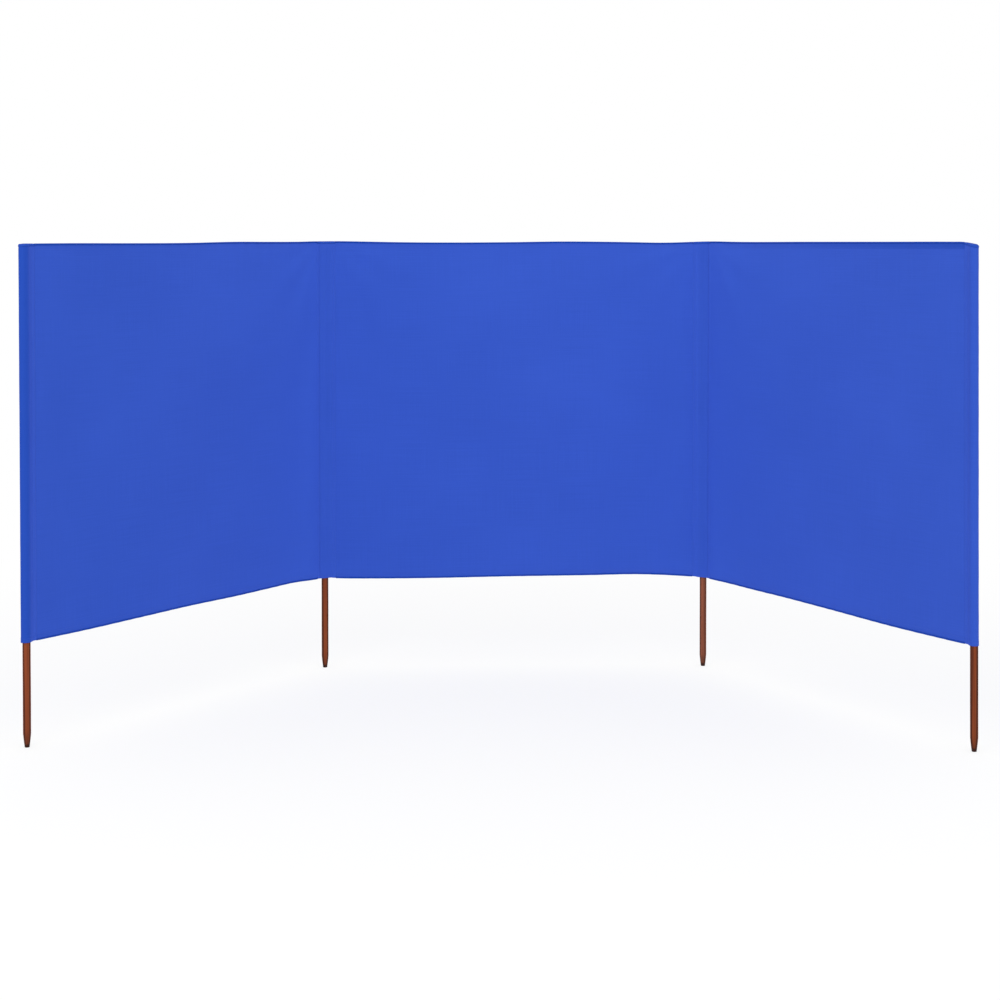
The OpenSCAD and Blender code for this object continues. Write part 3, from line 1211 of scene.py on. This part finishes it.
def stain_and_shade_runs(angle, height, face, rng):
    """Dark runs along a pole: narrow bands at a few angles that wander with height.

    Two lie beside the lit face, painted shade where the pole turns from the light; a faint one
    lies near its middle, and three more round the back are staining.
    """
    beside = np.array([-face.left, face.right, 0.1])
    turns = np.concatenate([face.turn + beside, face.turn + rng.uniform(2.2, 4.1, 3)])
    depths = np.concatenate([[1.0, 1.0, 0.25], rng.uniform(0.4, 0.8, 3)])
    widths = np.concatenate([[face.width, face.width, 0.16], rng.uniform(0.2, 0.4, 3)])
    total = 0.0
    for turn, depth, width in zip(turns, depths, widths):
        wander = 0.06 * np.sin(2 * math.pi * height / rng.uniform(0.5, 1.1) + rng.uniform(0, 6))
        apart = np.angle(np.exp(1j * (angle - turn - wander)))
        total = total + depth * np.exp(-((apart / width) ** 2))
    return np.clip(total, 0, 1)


print("stain runs beside each face:", {pole: face[1:3] for pole, face in LIT_FACES.items()})

# %% The four poles
WAVERS = ((0.00010, 2, 9), (0.00006, 5, -31))
WAVER_MOST = sum(rise for rise, _, _ in WAVERS)
FIRST_SEED = 50


def pole_piece(pole, seed, faded):
    """The profile carried round the pole's axis, with both ends closed by a fan.

    The radius wavers by two sines of the angle and the height, and never past the frame's pole.
    """
    rng = np.random.default_rng(seed)
    phase = rng.uniform(0, 2 * math.pi, 4)
    top = POLE_TOP - SHORT_OF_TOP.get(pole, 0.0)
    radius, height = pole_profile(top)
    height = height[:, None]
    angle = np.linspace(0, 2 * math.pi, POLE_SIDES, endpoint=False)
    ring = radius[:, None] - WAVER_MOST
    for (rise, round_pole, up_pole), turn in zip(WAVERS, phase):
        ring = ring + rise * np.sin(round_pole * angle + up_pole * height + turn)
    lean = END_BAY[pole].lean if pole in END_BAY else np.zeros(2)
    around = np.stack([ring * np.cos(angle), ring * np.sin(angle)], axis=-1)
    plan = AXIS[pole] + around + lean * (height - LEAN_FROM)[..., None]
    points = np.concatenate([plan, np.broadcast_to(height, ring.shape)[..., None]], axis=-1)

    index = np.arange(ring.size).reshape(ring.shape)
    ahead = np.roll(index, -1, axis=1)
    quads = np.stack([index[:-1], ahead[:-1], ahead[1:], index[1:]], axis=-1).reshape(-1, 4)
    fans = np.concatenate([
        np.stack([ahead[0], index[0], np.full(POLE_SIDES, ring.size)], axis=-1),
        np.stack([index[-1], ahead[-1], np.full(POLE_SIDES, ring.size + 1)], axis=-1),
    ])
    ends = np.array([[*plan[0].mean(0), 0.0], [*plan[-1].mean(0), top]])
    points = np.concatenate([points.reshape(-1, 3), ends])
    streaks = stain_and_shade_runs(angle, height, LIT_FACES[pole], rng)
    values = {
        "faded": np.full(len(points), faded),
        "stain": np.concatenate([streaks.reshape(-1), [0.5, 0.5]]),
    }
    return make_piece(pole + "_pole_wood", points, quads, wood_finish, None, values, fans)


for number, pole in enumerate(POLES):
    piece = pole_piece(pole, FIRST_SEED + number, FADED[pole])
    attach(piece, END_BAY[pole].body if pole in END_BAY else "middle")
    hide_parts(pole + "_pole")
    print(piece.name, len(piece.data.polygons), "faces")

# %% [markdown]
# ## Stitches
# Every seam is sewn with blue thread in a lockstitch, so each stitch shows on both faces as a
# short bead pulled into the cloth. One bead is made of two small rings and two points, and whole
# rows of them are placed at once: an array of places, directions and normals.

# %% Beads of thread along a row
STITCH_PITCH = 0.0050
STITCH_SIZE = np.array([0.0037, 0.00075, 0.00032])
bead_section = ((-0.5, -0.6), (-0.36, 0.75), (0.36, 0.75), (0.5, -0.6))
bead_rings = [(x, y, z) for x in (-0.28, 0.28) for y, z in bead_section]
bead_points = np.array([*bead_rings, (-0.5, 0, -0.25), (0.5, 0, -0.25)]) * STITCH_SIZE
corner = np.arange(4)
after = (corner + 1) % 4
BEAD_QUADS = np.stack([corner, corner + 4, after + 4, after], axis=-1)
BEAD_FANS = np.concatenate([
    np.stack([corner, after, np.full(4, 8)], axis=-1),
    np.stack([after + 4, corner + 4, np.full(4, 9)], axis=-1),
])


def bead_row(places, along, normal):
    """Beads at places, each with its length along the row and its top along the normal."""
    across = unit(np.cross(normal, along))
    along = np.cross(across, normal)
    turn = np.stack([along, across, normal], axis=1)
    return places[:, None, :] + np.einsum("pk,nkc->npc", bead_points, turn)


def stitches_piece(name, rows):
    """All the beads of several rows as one piece."""
    beads = np.concatenate([bead_row(*row) for row in rows])
    shift = (np.arange(len(beads)) * len(bead_points))[:, None, None]
    quads = (BEAD_QUADS + shift).reshape(-1, 4)
    fans = (BEAD_FANS + shift).reshape(-1, 3)
    return make_piece(name, beads, quads, thread_finish, triangles=fans)


print(f"a stitch is {STITCH_SIZE[0] * 1000:.1f} mm long and has {len(bead_points)} points")

# %% Rows along the hems
HEM_ROW_IN = HEM_W - 0.003
HEM_ROW_END = 0.006
LOOK_AHEAD = 0.001


def hem_rows(bay):
    """A row of stitches along each hem, on the panel's front and on the hem's band behind."""
    u = np.arange(SEAM_END + HEM_ROW_END, PITCH - SEAM_END - HEM_ROW_END, STITCH_PITCH)
    rows = []
    for height in (HEM_ROW_IN, CLOTH_H - HEM_ROW_IN):
        v = np.full_like(u, height)
        spot = cloth_at(bay, u, v)
        back = cloth_back(bay, u, v)
        along = unit(cloth_at(bay, u + LOOK_AHEAD, v) - spot)
        rows.append((spot - back * PANEL_T / 2, along, -back))
        rows.append((spot + back * (PANEL_T / 2 + HEM_T + LAYER_GAP), along, back))
    return rows


for bay in BAYS:
    piece = stitches_piece(bay.name + "_hem_stitches", hem_rows(bay))
    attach(piece, bay.body)
    print(piece.name, len(piece.data.polygons), "faces")

# %% Rows on the sleeves
LAP_ROW_IN = 0.0025
LAP_ROW_END = 0.004
LAP_ROW_FROM = 2
MOUTH_ROW = 4
MOUTH_ROW_END = 0.003
MOUTH_HALF = 0.9 * SLEEVE_T
UPWARD = (0.0, 0.0, 1.0)


def seam_columns(run):
    """The columns of a strip nearest to the two stitch rows of each lap."""
    run = np.abs(run - run[0])
    inset = np.array([LAP_ROW_IN, SEAM_W - LAP_ROW_IN])
    places_on_run = np.concatenate([inset, run[-1] - inset])
    return [int(np.argmin(np.abs(run - spot))) for spot in places_on_run]


def lap_rows(strip, run):
    """Rows of stitches up a sleeve's laps, on the strip's outer face."""
    wall = slice(len(WALL_ROWS))
    normal = grid_normals(strip)
    half = SLEEVE_T * pressed(side_inset(run)) / 2
    rows = []
    for column in seam_columns(run):
        line = strip[wall, column]
        height = line[:, 2]
        z = np.arange(height[LAP_ROW_FROM] + LAP_ROW_END, height[-1] - LAP_ROW_END, STITCH_PITCH)
        spot = along_line(z, height, line)
        out = unit(along_line(z, height, normal[wall, column]))
        rows.append((spot + out * half[column], np.broadcast_to(UPWARD, spot.shape), out))
    return rows


def mouth_row(strip):
    """A row round the sleeve's mouth, where it is turned up."""
    line = strip[MOUTH_ROW]
    run = run_of(line[:, :2])
    even = np.arange(MOUTH_ROW_END, run[-1] - MOUTH_ROW_END, STITCH_PITCH)
    spot = along_line(even, run, line)
    out = unit(along_line(even, run, grid_normals(strip)[MOUTH_ROW]))
    along = unit(along_line(even, run, np.gradient(line, run, axis=0)))
    return spot + out * MOUTH_HALF, along, out


for pole in POLES:
    rows = []
    for strip, run in strips[pole]:
        rows += lap_rows(strip, run) + [mouth_row(strip)]
    piece = stitches_piece(pole + "_sleeve_stitches", rows)
    follow(piece, pole)
    print(piece.name, len(piece.data.polygons), "faces")

# %% [markdown]
# ## Floor and light
# The photograph is a cut-out on white under very even light. The floor is white too: to the
# camera it is mostly its own white, with a share of real shading so that the shadows of the
# poles stay, and further off it is plain white. Nearly all the light is a white sky. Two broad,
# weak lamps in front, the left one the stronger, round the poles.

# %% The floor
FLOOR_SIZE = 60.0
FLOOR_PALE = (0.93, 0.93, 0.93, 1)
SHADOW_SHARE = 0.25
SHADOW_TO = 1.9
WHITE_FROM = 3.6


def pale_floor():
    """White to the camera, with a share of the real shading near the object."""
    material, wire = new_finish("pale_floor")
    coordinates = wire.node("ShaderNodeTexCoord", output="Object")
    offset = wire.node(
        "ShaderNodeVectorMath",
        {"operation": "SUBTRACT"},
        {0: coordinates, 1: (*shelter_middle, 0.0)},
    )
    away = wire.node("ShaderNodeVectorMath", {"operation": "LENGTH"}, {0: offset}, "Value")
    seen = wire.node("ShaderNodeLightPath", output="Is Camera Ray")
    glossy = wire.node("ShaderNodeLightPath", output="Is Glossy Ray")
    through = wire.node("ShaderNodeLightPath", output="Is Transmission Ray")
    shown = (seen + glossy + through).at_most(1.0)
    white_share = shown * (1 - SHADOW_SHARE * (1 - away.step(SHADOW_TO, WHITE_FROM)))
    shading = wire.node("ShaderNodeBsdfDiffuse", None, {"Color": FLOOR_PALE})
    glow = wire.node("ShaderNodeEmission", None, {"Color": WHITE, "Strength": 1.0})
    mixed = wire.node("ShaderNodeMixShader", None, {0: white_share, 1: shading, 2: glow})
    wire.node("ShaderNodeOutputMaterial", None, {"Surface": mixed})
    return material


half = FLOOR_SIZE / 2
floor_corners = [[-half, -half, 0], [half, -half, 0], [half, half, 0], [-half, half, 0]]
floor = make_piece("floor", floor_corners, np.array([[0, 1, 2, 3]]), pale_floor())
print("floor", FLOOR_SIZE, "m")

# %% The sky and two lamps
SKY_LIGHT = 1.0
LAMPS = {"key": ((-2.6, -6.6, 4.4), 90.0), "fill": ((3.9, -6.6, 4.4), 50.0)}
LAMP_SIZE = 4.0
AIM_AT = np.array([*shelter_middle, 0.8])

world = bpy.data.worlds.new("white_sky")
world.use_nodes = True
bpy.context.scene.world = world
world.node_tree.nodes.clear()
sky = Wire(world.node_tree)
light = sky.node("ShaderNodeBackground", None, {"Color": WHITE, "Strength": SKY_LIGHT})
sky.node("ShaderNodeOutputWorld", None, {"Surface": light})

for name, (spot, power) in LAMPS.items():
    lamp_data = bpy.data.lights.new(name, "AREA")
    lamp_data.shape = "DISK"
    lamp_data.size = LAMP_SIZE
    lamp_data.energy = power
    lamp = bpy.data.objects.new(name, lamp_data)
    lamp.location = spot
    aim = AIM_AT - np.array(spot)
    down = math.acos(-aim[2] / np.linalg.norm(aim))
    lamp.rotation_euler = (down, 0, math.atan2(-aim[0], aim[1]))
    bpy.context.collection.objects.link(lamp)
print("sky", SKY_LIGHT, "lamps", LAMPS)
